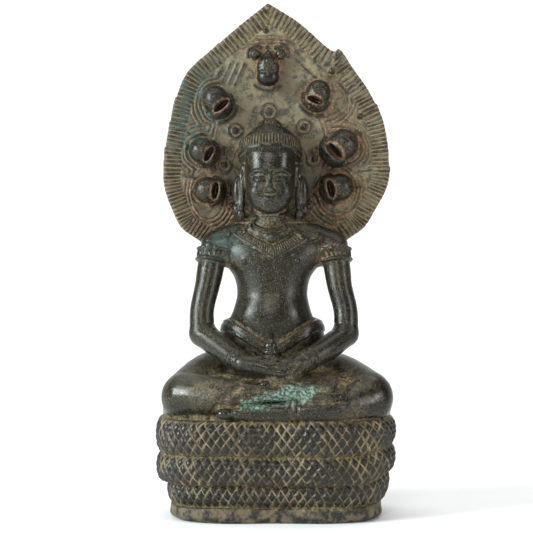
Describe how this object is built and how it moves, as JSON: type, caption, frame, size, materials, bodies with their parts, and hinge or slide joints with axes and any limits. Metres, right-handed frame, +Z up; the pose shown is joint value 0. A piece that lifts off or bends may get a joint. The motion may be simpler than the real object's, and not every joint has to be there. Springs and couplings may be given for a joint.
{
  "type": "naga buddha statuette",
  "caption": "Cast bronze statuette of a crowned Buddha meditating on a coiled serpent, sheltered by its ribbed, many-headed hood.",
  "frame": {"origin": "centre of the footprint on the surface that the statuette stands on", "axes": "+Z up to the tip of the hood; the figure faces -Y; +X is the viewer's right"},
  "size_m": [0.1124, 0.0729, 0.24],
  "materials": {
    "bronze": "dark cast bronze, rubbed to a sheen on the raised forms, with ochre, rust and green in the hollows"
  },
  "bodies": {
    "root": {"naga_buddha": "bronze"}
  },
  "joints": []
}
